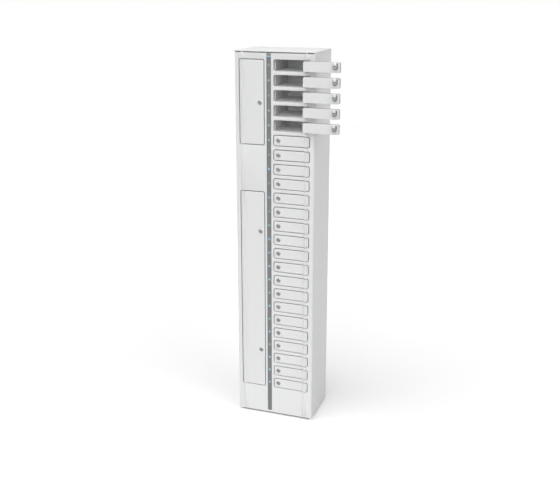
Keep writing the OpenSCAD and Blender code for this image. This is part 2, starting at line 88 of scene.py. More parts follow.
@dataclass(frozen=True)
class Layout:
    """Driving sizes of the front, and the places worked out from them."""

    rows: int = 24
    open_rows: int = 5
    row_pitch: float = 70.5
    opening_h: float = 54.4
    opening_w: float = 183.0
    side_opening_w: float = 128.8
    side_margin: float = 22.0
    opening_r: float = 10.0
    corner_r: float = 9.0
    bottom_panel_h: float = 135.0
    upper_door_rows: int = 6
    blank_rows: int = 3
    return_depth: float = 26.0
    lip_w: float = 3.5
    sheet_t: float = 1.5
    thin_t: float = 1.2
    door_gap: float = 3.4
    door_t: float = 16.0
    hinge_edge: float = 17.0
    hinge_proud: float = 2.0
    knuckle_gap: float = 0.4
    knuckle_reach: float = 0.4
    open_angle: float = 180.0
    left_land: float = 10.2
    right_land: float = 11.4
    channel_depth: float = 8.0
    small_lock_x: float = 25.0
    side_lock_x: float = 24.0
    side_lock_z: float = 203.4

    @property
    def width(self) -> float:
        """Overall width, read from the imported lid."""
        low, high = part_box("top_cover")
        return (high.x - low.x) / MM

    @property
    def depth(self) -> float:
        """Overall depth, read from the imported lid."""
        low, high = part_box("top_cover")
        return (high.y - low.y) / MM

    @property
    def body_z0(self) -> float:
        """Height of the body's lower edge."""
        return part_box("cabinet_shell")[0].z / MM

    @property
    def body_z1(self) -> float:
        """Height of the body's upper edge."""
        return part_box("cabinet_shell")[1].z / MM

    @property
    def cover_z0(self) -> float:
        """Height of the lid's lower edge, above the shadow gap."""
        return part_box("hinge_rods")[1].z / MM + self.knuckle_gap

    @property
    def small_x0(self) -> float:
        """Left edge of the small openings."""
        return self.width - self.side_margin - self.opening_w

    @property
    def strip_x0(self) -> float:
        """Left edge of the light strip's channel."""
        return self.side_margin + self.side_opening_w + self.left_land

    @property
    def strip_x1(self) -> float:
        """Right edge of the light strip's channel."""
        return self.small_x0 - self.right_land

    @property
    def strip_x(self) -> float:
        """Middle of the light strip's channel."""
        return (self.strip_x0 + self.strip_x1) / 2

    @property
    def left_hinge_x(self) -> float:
        """Place of the tall doors' hinge line."""
        return self.side_margin + self.hinge_edge

    @property
    def right_hinge_x(self) -> float:
        """Place of the small doors' hinge line."""
        return self.width - self.side_margin - self.hinge_edge

    @property
    def lower_rows(self) -> int:
        """Rows that the lower tall door spans."""
        return self.rows - self.upper_door_rows - self.blank_rows

    def row_z(self, row: int) -> float:
        """Lower edge of a small opening, row 0 at the top."""
        lowest = self.body_z0 + self.bottom_panel_h
        return lowest + (self.rows - 1 - row) * self.row_pitch

    def span_h(self, rows: int) -> float:
        """Height of an opening that spans a number of rows."""
        return (rows - 1) * self.row_pitch + self.opening_h


@dataclass(frozen=True)
class LockSizes:
    """Sizes of a cam lock's fixed body."""

    collar_r: float = 11.5
    collar_t: float = 2.2
    rim_h: float = 0.2
    body_r: float = 9.0
    hole_clear: float = 0.1
    bore_r: float = 6.05
    bore_sunk: float = 0.9
    case_r: float = 10.5
    case_rise: float = 18.0
    case_end: float = 27.5
    case_corner: float = 1.6
    case_soft: float = 0.5
    case_steps: int = 20
    # How far from the screw the cam arm is painted duller, as painted shade.
    arm_shaded: float = 12.5
    key_mouth: float = 34.3

    def collar_section(self) -> list[Point]:
        """Returns the collar's closed section, from its bore round over the dome to its neck."""
        top, back = -self.collar_t, LAYOUT.door_t
        dome = ((6.9, 0.25), (7.6, 0.0), (9.0, 0.0), (10.1, 0.3), (10.9, 0.8), (11.35, 1.4))
        return [
            (self.bore_r, back), (self.bore_r, top + self.bore_sunk),
            *((r, top + sunk) for r, sunk in dome),
            (self.collar_r, -self.rim_h), (self.collar_r, 0.0),
            (self.body_r, 0.0), (self.body_r, back),
        ]


LAYOUT = Layout()
LOCK = LockSizes()


def place(x: float, depth: float, z: float) -> Vector:
    """Returns the row frame's point, in metres, of a place measured from the front left corner."""
    return Vector(((x - LAYOUT.width / 2) * MM, (depth - LAYOUT.depth / 2) * MM, z * MM))


# Shader arithmetic


class Signal:
    """A node's output that takes part in arithmetic, adding its Math nodes as it goes."""

    def __init__(self, shader: "Shader", socket: bpy.types.NodeSocket) -> None:
        """Wraps one output socket of the shader's tree."""
        self.shader = shader
        self.socket = socket

    def _math(self, operation: str, *values: "Signal | Number") -> "Signal":
        """Returns the result of one Math node."""
        return self.shader.node("ShaderNodeMath", {"operation": operation}, *values)

    def __add__(self, other: "Signal | Number") -> "Signal":
        """Sum."""
        return self._math("ADD", self, other)

    def __sub__(self, other: "Signal | Number") -> "Signal":
        """Difference."""
        return self._math("SUBTRACT", self, other)

    def __rsub__(self, other: Number) -> "Signal":
        """Difference from a number."""
        return self._math("SUBTRACT", other, self)

    def __mul__(self, other: "Signal | Number") -> "Signal":
        """Product."""
        return self._math("MULTIPLY", self, other)

    def __truediv__(self, other: "Signal | Number") -> "Signal":
        """Quotient."""
        return self._math("DIVIDE", self, other)

    def __abs__(self) -> "Signal":
        """Absolute value."""
        return self._math("ABSOLUTE", self)

    __radd__ = __add__
    __rmul__ = __mul__

    def floor(self) -> "Signal":
        """Largest whole number below the value."""
        return self._math("FLOOR", self)

    def root(self) -> "Signal":
        """Square root."""
        return self._math("SQRT", self)

    def falloff(self, start: float, end: float) -> "Signal":
        """Returns a smooth step, 1 where the value is at most start and 0 from end on."""
        settings = {"interpolation_type": "SMOOTHSTEP"}
        return self.shader.node("ShaderNodeMapRange", settings, self, start, end, 1.0, 0.0)


class Shader:
    """A material's node tree and the steps that build it."""

    def __init__(self, name: str) -> None:
        """Starts a material with its Principled shader.

        Args:
            name: the material's name.
        """
        self.material = bpy.data.materials.new(name)
        self.material.use_nodes = True
        self.tree = self.material.node_tree
        self.surface = self.tree.nodes["Principled BSDF"]

    def node(
        self, kind: str, settings: Mapping[str, object] | None = None, *values: object,
        out: str | int = 0, **named: object,
    ) -> Signal:
        """Adds a node.

        Args:
            kind: the node's type.
            settings: properties set before its sockets, or "stops" for a colour ramp.
            values: numbers or signals for its first inputs, in order; None leaves one alone.
            out: the output that is returned.
            named: values for inputs by name, with an underscore for each space.

        Returns:
            The chosen output.
        """
        made = self.tree.nodes.new(kind)
        for key, value in (settings or {}).items():
            if key == "stops":
                self._set_stops(made.color_ramp, value)
            else:
                setattr(made, key, value)
        pairs = list(enumerate(values))
        pairs += [(key.replace("_", " "), value) for key, value in named.items()]
        for key, value in pairs:
            self.feed(made.inputs[key], value)
        return Signal(self, made.outputs[out])

    def feed(self, socket: bpy.types.NodeSocket, value: object) -> None:
        """Links a signal to a socket, or sets the socket's own value.

        Args:
            socket: the input.
            value: a signal, a plain value, or None to leave the input alone.
        """
        if isinstance(value, Signal):
            self.tree.links.new(value.socket, socket)
        elif value is not None:
            socket.default_value = value

    @staticmethod
    def _set_stops(ramp: bpy.types.ColorRamp,
                   stops: Sequence[tuple[float, Sequence[float]]]) -> None:
        """Gives a colour ramp its stops.

        Args:
            ramp: the ramp.
            stops: (position, colour) pairs, from 0 up.
        """
        while len(ramp.elements) > 1:
            ramp.elements.remove(ramp.elements[-1])
        ramp.elements[0].position, ramp.elements[0].color = stops[0][0], (*stops[0][1], 1.0)
        for position, colour in stops[1:]:
            ramp.elements.new(position).color = (*colour, 1.0)

    def coordinates(self) -> Signal:
        """Returns the object's own coordinates, in metres."""
        return self.node("ShaderNodeTexCoord", out="Object")

    def axes(self) -> tuple[Signal, Signal, Signal]:
        """Returns x, y and z of the object's coordinates."""
        split = self.node("ShaderNodeSeparateXYZ", None, self.coordinates()).socket.node
        return tuple(Signal(self, split.outputs[i]) for i in range(3))

    def noise(self, scale: float, detail: float = 2.0,
              stretch: Sequence[float] = (1, 1, 1)) -> Signal:
        """Returns noise from 0 to 1, with features of about one over scale metres."""
        spread = self.node("ShaderNodeMapping", None, self.coordinates(), Scale=tuple(stretch))
        return self.node("ShaderNodeTexNoise", None, spread, Scale=scale, Detail=detail)

    def attribute(self, name: str) -> Signal:
        """Returns a number that the mesh stores at each point, or 0 where it stores none."""
        return self.node("ShaderNodeAttribute", {"attribute_name": name}, out="Fac")

    def blend(self, share: Signal, first: "Signal | Sequence[float]",
              second: "Signal | Sequence[float]") -> Signal:
        """Returns the mix of two colours.

        Args:
            share: how much of the second colour shows.
            first, second: the colours, as numbers or signals.
        """
        mixed = self.node("ShaderNodeMix", {"data_type": "RGBA"}, out=2)
        inputs = mixed.socket.node.inputs
        self.feed(inputs[0], share)
        for socket, colour in ((inputs[6], first), (inputs[7], second)):
            self.feed(socket, colour if isinstance(colour, Signal) else (*colour, 1.0))
        return mixed

    def bump(self, height: Signal, strength: float, distance: float) -> None:
        """Feeds a height to the surface's normal.

        Args:
            height: the relief, from 0 to 1.
            strength: how much of it shows.
            distance: what a height of 1 stands for, in metres.
        """
        made = self.node(
            "ShaderNodeBump", None, Strength=strength, Distance=distance, Height=height,
        )
        self.feed(self.surface.inputs["Normal"], made)

    def set(self, **values: object) -> None:
        """Sets or links the surface's sockets by name, with an underscore for each space."""
        for key, value in values.items():
            self.feed(self.surface.inputs[key.replace("_", " ")], value)


# Finishes


@dataclass(frozen=True)
class PowderCoat:
    """Satin powder coat: faint orange peel, slight tone drift, and dust near the floor.

    Each shade band is painted shade on folded edges, for the shade in the door gaps and returns: it
    gives the depths behind the closed front between which it greys the coat, and how much. Below
    foot_h, in millimetres, a base is painted black as painted shadow for the gap under the cabinet.
    Dust thins out between the two heights of dust_z, in metres.

    A shade band fades in over the first length of shade_band_fade, and out between the other two
    before its end. The painted shadow at the foot fades out between the two lengths of foot_fade
    below foot_h.
    """

    name: str
    slot: str
    colour: tuple[float, float, float]
    roughness: float = 0.42
    peel: float = 0.10
    shade_bands: tuple[tuple[float, float, float], ...] = ()
    foot_h: float = 0.0
    foot_shadow_colour: tuple[float, float, float] = (0.035, 0.035, 0.037)
    worn_tone: float = 0.965
    fold_shade_tone: float = 0.2
    dust_z: tuple[float, float] = (0.004, 0.07)
    dust_share: float = 0.35
    dust_rough: float = 0.2
    drift_share: float = 0.5
    gloss_drift: float = 0.10
    shade_band_fade: tuple[float, float, float] = (1.5, 0.8, 0.2)
    foot_fade: tuple[float, float] = (0.4, 0.1)
    peel_h: float = 0.0002

    def material(self) -> bpy.types.Material:
        """Builds the finish.

        Returns:
            Its material.
        """
        shader = Shader(self.name)
        drift = shader.noise(3.0, 3.0)
        height = shader.axes()[2]
        dust = height.falloff(*self.dust_z) * self.dust_share
        worn = drift * self.drift_share + dust
        tone = shader.blend(worn, self.colour, self._shade(self.worn_tone))
        # Painted shade: each band greys the coat on folded edges in the door gaps and returns,
        # where shade falls.
        into, out0, out1 = self.shade_band_fade
        for near, far, share in self.shade_bands:
            depth = shader.attribute(REACH)
            folded = (1 - depth.falloff(near, near + into)) * depth.falloff(far - out0, far - out1)
            tone = shader.blend(folded * share, tone, self._shade(self.fold_shade_tone))
        # Painted shadow: the plinth below foot_h is painted black for the shadow gap under the
        # base.
        if self.foot_h:
            start, end = ((self.foot_h - below) * MM for below in self.foot_fade)
            tone = shader.blend(height.falloff(start, end), tone, self.foot_shadow_colour)
        glossiest = self.roughness - self.gloss_drift / 2
        roughness = shader.noise(14.0, 4.0) * self.gloss_drift + glossiest
        shader.set(
            Base_Color=tone,
            Roughness=roughness + dust * self.dust_rough,
            Specular_IOR_Level=0.5,
            Coat_Weight=0.12,
            Coat_Roughness=0.25,
        )
        shader.bump(shader.noise(620.0, 2.0), self.peel, self.peel_h)
        return shader.material

    def _shade(self, tone: float) -> tuple[float, ...]:
        """Returns the coat's colour, darkened."""
        return tuple(c * tone for c in self.colour)


@dataclass(frozen=True)
class PlatedMetal:
    """Bright or brushed metal with fine directional marks.

    Up to the mark called end, measured from the part's root, the tone drops by wall towards a
    near-black colour: painted shade on the walls of a lock case, inside a plug's keyway and on the
    lower part of a cam arm, where shade falls. It is back between the two lengths of end_fade
    before the mark.
    """

    name: str
    slot: str
    colour: tuple[float, float, float]
    roughness: float
    marks: tuple[float, float, float] = (1.0, 1.0, 1.0)
    wall: float = 0.0
    end: float = 0.0
    dull_tone: float = 0.82
    painted_shade_colour: tuple[float, float, float] = (0.02, 0.02, 0.022)
    end_fade: tuple[float, float] = (0.5, 0.1)
    grain_rough: float = 0.12
    grain_bump: float = 0.06
    tarnish_rough: float = 0.08

    def material(self) -> bpy.types.Material:
        """Builds the finish.

        Returns:
            Its material.
        """
        shader = Shader(self.name)
        grain = shader.noise(1800.0, 2.0, self.marks)
        tarnish = shader.noise(160.0, 3.0)
        tone = shader.blend(tarnish, self.colour, tuple(c * self.dull_tone for c in self.colour))
        # Painted shade: up to end the part is darkened towards near black.
        if self.wall:
            sides = shader.attribute(REACH).falloff(*(self.end - near for near in self.end_fade))
            tone = shader.blend(sides * self.wall, tone, self.painted_shade_colour)
        glossiest = self.roughness - (self.grain_rough + self.tarnish_rough) / 2
        shader.set(
            Base_Color=tone,
            Metallic=1.0,
            Roughness=grain * self.grain_rough + tarnish * self.tarnish_rough + glossiest,
        )
        shader.bump(grain, self.grain_bump, GRAIN_H)
        return shader.material


@dataclass(frozen=True)
class MouldedPart:
    """Plain moulded plastic or rubber with a fine satin texture."""

    name: str
    slot: str
    colour: tuple[float, float, float]
    roughness: float
    smoother: float = 0.07
    grain_rough: float = 0.15
    grain_bump: float = 0.12
    pale_tone: float = 1.25
    pale_lift: float = 0.01
    pale_share: float = 0.5

    def material(self) -> bpy.types.Material:
        """Builds the finish.

        Returns:
            Its material.
        """
        shader = Shader(self.name)
        grain = shader.noise(900.0, 3.0)
        pale = tuple(min(1.0, c * self.pale_tone + self.pale_lift) for c in self.colour)
        shader.set(
            Base_Color=shader.blend(shader.noise(60.0, 3.0) * self.pale_share, self.colour, pale),
            Roughness=grain * self.grain_rough + (self.roughness - self.smoother),
        )
        shader.bump(grain, self.grain_bump, GRAIN_H)
        return shader.material


@dataclass(frozen=True)
class LampDiffuser:
    """Grey diffuser with a lit point at each row's lens and the status bar at its top.

    A glow fades from lens_r to glow_r about each lens. The bar fades between the two distances
    of bar_rise above and below its middle, and between those of bar_reach to its left and right.
    The lamps end between the two shares of column_end of the column's height from its middle.
    """

    name: str = "smoked_diffuser"
    slot: str = "smoked_diffuser"
    colour: tuple[float, float, float] = (0.165, 0.173, 0.173)
    cloud_tone: float = 1.12
    bar_colour: tuple[float, float, float] = (0.10, 0.36, 0.50)
    lens_r: float = 2.0
    glow_r: float = 8.5
    bar_above: float = 13.0
    bar_rise: tuple[float, float] = (2.0, 4.4)
    bar_reach: tuple[float, float] = (8.5, 11.0)
    column_end: tuple[float, float] = (0.4999, 0.5)
    roughness: float = 0.33
    grain_rough: float = 0.1

    def material(self) -> bpy.types.Material:
        """Builds the finish.

        Returns:
            Its material.
        """
        shader = Shader(self.name)
        x, _, z = shader.axes()
        middle = place(LAYOUT.strip_x, 0, LAYOUT.row_z(0) + LAYOUT.opening_h / 2)
        pitch = LAYOUT.row_pitch * MM
        rows_down = (middle.z - z) / pitch + 0.5
        row = rows_down.floor()
        off_x = x - middle.x
        off_z = (rows_down - row - 0.5) * pitch
        distance = (off_x * off_x + off_z * off_z).root()
        in_column = abs(rows_down / LAYOUT.rows - 0.5).falloff(*self.column_end)
        spot = distance.falloff(self.lens_r * MM, self.glow_r * MM) * in_column
        stops = [(i / LAYOUT.rows, lamp.value) for i, lamp in enumerate(LAMPS)]
        colours = shader.node("ShaderNodeValToRGB", {"stops": stops}, (row + 0.5) / LAYOUT.rows)
        colours.socket.node.color_ramp.interpolation = "CONSTANT"
        bar_z = (LAYOUT.row_z(0) + LAYOUT.opening_h + self.bar_above) * MM
        rise, reach = ([edge * MM for edge in edges] for edges in (self.bar_rise, self.bar_reach))
        bar = abs(z - bar_z).falloff(*rise) * abs(off_x).falloff(*reach)
        cloud = tuple(c * self.cloud_tone for c in self.colour)
        light = shader.blend(bar, colours, self.bar_colour)
        shader.set(
            Base_Color=shader.blend(shader.noise(25.0), self.colour, cloud),
            Roughness=shader.noise(700.0) * self.grain_rough + self.roughness,
            Emission_Color=self._scaled(shader, light, spot + bar),
            Emission_Strength=1.0,
        )
        return shader.material

    @staticmethod
    def _scaled(shader: Shader, colour: Signal, strength: Signal) -> Signal:
        """Returns a colour times a value.

        Args:
            shader: the shader that gets the node.
            colour: the colour.
            strength: the value.
        """
        made = shader.node("ShaderNodeVectorMath", {"operation": "SCALE"}, colour)
        shader.feed(made.socket.node.inputs["Scale"], strength)
        return made


class Finishes:
    """The object's finishes, each built once."""

    def __init__(self) -> None:
        """Builds every finish."""
        self.made: dict[str, bpy.types.Material] = {}
        coat = ("white_paint", (0.70, 0.703, 0.706))
        # Painted shade on the door pans' edge flanges, for the shade in the gaps round the doors.
        door_gap_shade = (0.6, LAYOUT.door_t, 0.80)
        self.white = PowderCoat("white_powder_coat", *coat)
        # Painted shadow: the base is black below foot_h, for the shadow gap under the cabinet.
        self.base = PowderCoat("base_powder_coat", *coat, foot_h=8.0)
        self.door = PowderCoat("door_powder_coat", *coat, shade_bands=(door_gap_shade,))
        # Painted shade on the frame's folds: deep in the returns of the open rows, and in the gaps
        # round the shut doors.
        self.open_fold = PowderCoat("open_fold_painted_shade", *coat, shade_bands=((16.5, 40.0, 0.45),))
        self.shut_fold = PowderCoat("shut_fold_painted_shade", *coat, shade_bands=((0.6, 14.0, 0.62),))
        # Painted light: the compartments' white is much lighter than the outer coat, to brighten
        # their dim insides.
        self.inner = PowderCoat("inner_brightened_coat", "inner_paint", (0.93, 0.934, 0.938), 0.48)
        self.nickel = PlatedMetal("nickel_plate", "lock_metal", (0.44, 0.44, 0.445), 0.24)
        # Painted shade: inside the plug's keyway the metal is painted near black.
        self.plug = PlatedMetal("nickel_plug", "lock_metal", (0.40, 0.40, 0.405), 0.22,
                                wall=0.97, end=LOCK.key_mouth)
        # Painted shade: the case walls are darkened near black; partly a duller cast wall, mostly
        # painted shade for their shaded sides.
        self.case = PlatedMetal("die_cast_lock_case", "lock_metal", (0.45, 0.455, 0.46), 0.42,
                                wall=0.85, end=LOCK.case_end)
        # Painted shade: the cam arm is dulled near its screw, so that only its upper part stays
        # bright.
        self.arm = PlatedMetal("bright_zinc_plate", "lock_metal", (0.80, 0.805, 0.81), 0.30,
                               wall=0.65, end=LOCK.arm_shaded)
        self.screw = PlatedMetal("zinc_screw", "lock_metal", (0.38, 0.385, 0.39), 0.34)
        # Painted shade: the strip's end cap is near black for the lid's shadow.
        self.cap = MouldedPart("strip_end_shade_cap", "smoked_diffuser", (0.02, 0.02, 0.022), 0.6)
        # Painted shade: the hinge rods' steel is darkened near black, so the knuckle gaps read dark
        # with shade.
        self.steel = PlatedMetal("gap_shade_steel", "rod_steel", (0.09, 0.09, 0.092), 0.38,
                                 (1, 1, 0.05))
        self.rubber = MouldedPart("grommet_rubber", "white_paint", (0.025, 0.025, 0.027), 0.62)
        self.diffuser = LampDiffuser()

    def of(self, finish: "Finish") -> bpy.types.Material:
        """Returns the material of a finish, built at its first use.

        Args:
            finish: one of the object's finishes.
        """
        if finish.name not in self.made:
            self.made[finish.name] = finish.material()
        return self.made[finish.name]


Finish = PowderCoat | PlatedMetal | MouldedPart | LampDiffuser


# Mesh making


def quarter(steps: int) -> list[float]:
    """Returns the angles of a quarter turn, from 0 up."""
    return [math.pi / 2 * step / steps for step in range(steps + 1)]


def rounded_outline(x0: float, z0: float, x1: float, z1: float, r: float,
                    steps: int = 6) -> list[Point]:
    """Returns a rectangle's outline with round corners, anticlockwise from its lower left.

    Args:
        x0, z0, x1, z1: the rectangle's edges.
        r: the corner radius.
        steps: segments in each corner.
    """
    r = max(r, LEAST_R)
    corners = (
        (x0 + r, z0 + r, 180), (x1 - r, z0 + r, 270), (x1 - r, z1 - r, 0), (x0 + r, z1 - r, 90),
    )
    points = []
    for cx, cz, start in corners:
        for step in range(steps + 1):
            turn = math.radians(start + 90 * step / steps)
            points.append((cx + r * math.cos(turn), cz + r * math.sin(turn)))
    return points


def ring(x: float, z: float, r: float, steps: int = 32) -> list[Point]:
    """Returns a circle's points about a centre."""
    turns = [math.tau * step / steps for step in range(steps)]
    return [(x + r * math.cos(t), z + r * math.sin(t)) for t in turns]


def fold(radius: float, steps: int = 4) -> list[Point]:
    """Returns the (inset, depth) points of an outer fold, from the front face to the flange."""
    return [(radius * (1 - math.sin(t)), radius * (1 - math.cos(t))) for t in quarter(steps)]


class Sheet:
    """Collects closed surfaces, in millimetres, into one piece of the visual model."""

    def __init__(self, name: str) -> None:
        """Starts an empty piece."""
        self.name = name
        self.bm = bmesh.new()

    def point(self, x: float, depth: float, z: float) -> bmesh.types.BMVert:
        """Adds a vertex."""
        return self.bm.verts.new((x, depth, z))

    def loft(self, loops: Sequence[Sequence[bmesh.types.BMVert]], caps: bool = True) -> None:
        """Joins loops of equal length with quads.

        Args:
            loops: each loop's vertices, in order.
            caps: whether the first and last loop are closed.
        """
        for near, far in zip(loops, loops[1:]):
            for i in range(len(near)):
                j = (i + 1) % len(near)
                self.bm.faces.new((near[i], near[j], far[j], far[i]))
        if caps:
            self.bm.faces.new(tuple(reversed(loops[0])))
            self.bm.faces.new(tuple(loops[-1]))

    def face(self, outline: Sequence[Point], holes: Sequence[Sequence[Point]],
             depth: float) -> None:
        """Adds a flat face with holes in it.

        Args:
            outline: the (x, z) points of its edge.
            holes: the outlines of the holes.
            depth: where it lies.
        """
        loops = [outline, *holes]
        points = [self.point(x, depth, z) for loop in loops for x, z in loop]
        flat = [[Vector((x, z, 0.0)) for x, z in loop] for loop in loops]
        for triangle in tessellate_polygon(flat):
            self.bm.faces.new([points[i] for i in triangle])

    def tube(self, outlines: Sequence[tuple[Sequence[Point], float]]) -> None:
        """Joins outlines with walls, open at both ends.

        Args:
            outlines: (outline, depth) pairs.
        """
        loops = [[self.point(x, depth, z) for x, z in outline] for outline, depth in outlines]
        self.loft(loops, caps=False)

    def pan(self, x0: float, z0: float, x1: float, z1: float, r: float, profile: Iterable[Point],
            holes: Sequence[Sequence[Point]] = ()) -> None:
        """Adds a body of round-cornered loops, with holes through its first and last face.

        Args:
            x0, z0, x1, z1: the outer outline.
            r: its corner radius.
            profile: (inset, depth) of each loop, from the front's middle round to the back's.
            holes: outlines of the holes.
        """
        self.body([
            (rounded_outline(x0 + inset, z0 + inset, x1 - inset, z1 - inset, r - inset), depth)
            for inset, depth in profile
        ], holes)

    def body(self, outlines: Sequence[tuple[list[Point], float]],
             holes: Sequence[Sequence[Point]]) -> None:
        """Adds a closed body with holes through it.

        Args:
            outlines: (outline, depth) pairs, from its first face to its last.
            holes: outlines of the holes.
        """
        self.tube(outlines)
        ends = outlines[0], outlines[-1]
        for outline, depth in ends:
            self.face(outline, holes, depth)
        for hole in holes:
            self.tube([(hole, depth) for _, depth in ends])

    def lathe(self, x: float, z: float, profile: Sequence[Point]) -> None:
        """Adds a ring about an axis that runs into the cabinet.

        Args:
            x, z: the axis.
            profile: (radius, depth) of a closed section.
        """
        loops = [[self.point(px, depth, pz) for px, pz in ring(x, z, r)] for r, depth in profile]
        self.loft([*loops, loops[0]], caps=False)

    def column(self, plan: Sequence[Point], low: Callable[[float, float], float],
               high: Callable[[float, float], float]) -> None:
        """Adds an upright body of one plan outline whose ends may follow a rule.

        Args:
            plan: (x, depth) points.
            low: the lower end's height at a plan point.
            high: the upper end's height at a plan point.
        """
        ends = [[self.point(x, y, end(x, y)) for x, y in plan] for end in (low, high)]
        self.loft(ends)

    def box(self, x0: float, y0: float, z0: float, x1: float, y1: float, z1: float) -> None:
        """Adds a plain box."""
        self.column([(x0, y0), (x1, y0), (x1, y1), (x0, y1)], lambda x, y: z0, lambda x, y: z1)

    def close(self, finish: Finish, finishes: Finishes, bevel: float = 0.0,
              turn: Matrix | None = None) -> bpy.types.Object:
        """Turns the surfaces into an object in the row frame.

        Args:
            finish: the piece's finish.
            finishes: the object's finishes.
            bevel: width of the small rounding on sharp edges.
            turn: a move made in millimetres before the piece is placed.

        Returns:
            The object, at the origin, with its place in its mesh.
        """
        self.merge()
        if turn is not None:
            self.bm.transform(turn)
        piece = self.as_object(finishes.of(finish))
        back, corner = (turn or Matrix()).inverted(), place(0, 0, 0)
        return marked(rounded(piece, bevel), lambda point: (back @ ((point - corner) / MM)).y)

    def merge(self) -> None:
        """Joins the vertices that meet and turns every face outwards."""
        bmesh.ops.remove_doubles(self.bm, verts=self.bm.verts, dist=MERGE)
        bmesh.ops.recalc_face_normals(self.bm, faces=self.bm.faces)

    def as_object(self, material: bpy.types.Material) -> bpy.types.Object:
        """Returns the surfaces as an object in the row frame."""
        self.bm.transform(Matrix.Translation(place(0, 0, 0)) @ Matrix.Scale(MM, 4))
        return mesh_object(self.name, self.bm, material)


def mesh_object(name: str, surfaces: bmesh.types.BMesh,
                material: bpy.types.Material) -> bpy.types.Object:
    """Turns surfaces in metres into an object, and frees them.

    Args:
        name: the name of the object and its mesh.
        surfaces: the mesh in the making.
        material: its material.

    Returns:
        The object, linked to the scene.
    """
    mesh = bpy.data.meshes.new(name)
    surfaces.to_mesh(mesh)
    surfaces.free()
    piece = bpy.data.objects.new(name, mesh)
    bpy.context.scene.collection.objects.link(piece)
    mesh.materials.append(material)
    return piece


def marked(piece: bpy.types.Object, reach: Callable[[Vector], float]) -> bpy.types.Object:
    """Stores at each point how far it lies from its part's root, in millimetres, for the finishes.

    Args:
        piece: the finished object.
        reach: the distance at a place; for sheet metal, its depth behind the closed front.

    Returns:
        The same object.
    """
    values = [reach(vert.co) for vert in piece.data.vertices]
    piece.data.attributes.new(REACH, "FLOAT", "POINT").data.foreach_set("value", values)
    return piece


def rounded(piece: bpy.types.Object, width: float, limit: float = 35.0) -> bpy.types.Object:
    """Rounds a piece's sharp edges a little and shades the rest smooth.

    Args:
        piece: the object.
        width: the rounding's width in millimetres, or zero for none.
        limit: the angle, in degrees, from which an edge counts as sharp.

    Returns:
        The same object.
    """
    if width:
        bevel = piece.modifiers.new("edge", "BEVEL")
        bevel.width, bevel.segments = width * MM, 2
        bevel.limit_method, bevel.angle_limit = "ANGLE", math.radians(limit)
        bevel.miter_outer = "MITER_ARC"
        bake_modifiers(piece)
    piece.data.shade_smooth()
    piece.data.set_sharp_from_angle(angle=math.radians(limit))
    return piece


def bake_modifiers(piece: bpy.types.Object) -> None:
    """Replaces a piece's mesh with its modifiers' result and removes them.

    Args:
        piece: the object.
    """
    bpy.context.view_layer.update()
    evaluated = piece.evaluated_get(bpy.context.evaluated_depsgraph_get())
    result = bpy.data.meshes.new_from_object(evaluated)
    piece.modifiers.clear()
    piece.data = result


def adopt(piece: bpy.types.Object, body: str, node: str) -> bpy.types.Object:
    """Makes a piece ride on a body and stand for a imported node.

    Args:
        piece: the finished object.
        body: the body that carries it.
        node: the node that it replaces.

    Returns:
        The same object.
    """
    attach(piece, body)
    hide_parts(node)
    LOG.info("%s: %d faces on %s", piece.name, len(piece.data.polygons), body)
    return piece


def node_parts(node: str) -> list[bmesh.types.BMesh]:
    """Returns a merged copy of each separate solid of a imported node, in metres.

    Args:
        node: the node's name.
    """
    merged = bmesh.new()
    merged.from_mesh(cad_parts[node].data)
    bmesh.ops.remove_doubles(merged, verts=merged.verts, dist=MERGE_CAD)
    left = set(merged.verts)
    parts = []
    for first in merged.verts:
        if first not in left:
            continue
        left.discard(first)
        island, edge = [], [first]
        while edge:
            vert = edge.pop()
            island.append(vert)
            for link in vert.link_edges:
                other = link.other_vert(vert)
                if other in left:
                    left.discard(other)
                    edge.append(other)
        part = bmesh.new()
        copies = {vert: part.verts.new(vert.co) for vert in island}
        for face in dict.fromkeys(face for vert in island for face in vert.link_faces):
            part.faces.new([copies[vert] for vert in face.verts])
        bmesh.ops.dissolve_limit(part, angle_limit=FLAT, verts=part.verts, edges=part.edges)
        parts.append(part)
    merged.free()
    return parts


def extent(part: bmesh.types.BMesh) -> Vector:
    """Returns a part's size along each axis, in metres."""
    spans = [[vert.co[axis] for vert in part.verts] for axis in range(3)]
    return Vector([max(span) - min(span) for span in spans])


def part_piece(name: str, parts: Sequence[bmesh.types.BMesh], finish: Finish, finishes: Finishes,
               bevel: float) -> bpy.types.Object:
    """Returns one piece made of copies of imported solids.

    Args:
        name: the piece's name.
        parts: the solids.
        finish: the piece's finish.
        finishes: the object's finishes.
        bevel: width of the small rounding on sharp edges, in millimetres.
    """
    joined = bmesh.new()
    for part in parts:
        copy = bpy.data.meshes.new("part")
        part.to_mesh(copy)
        joined.from_mesh(copy)
        bpy.data.meshes.remove(copy)
    return rounded(mesh_object(name, joined, finishes.of(finish)), bevel)


# Geometry Nodes


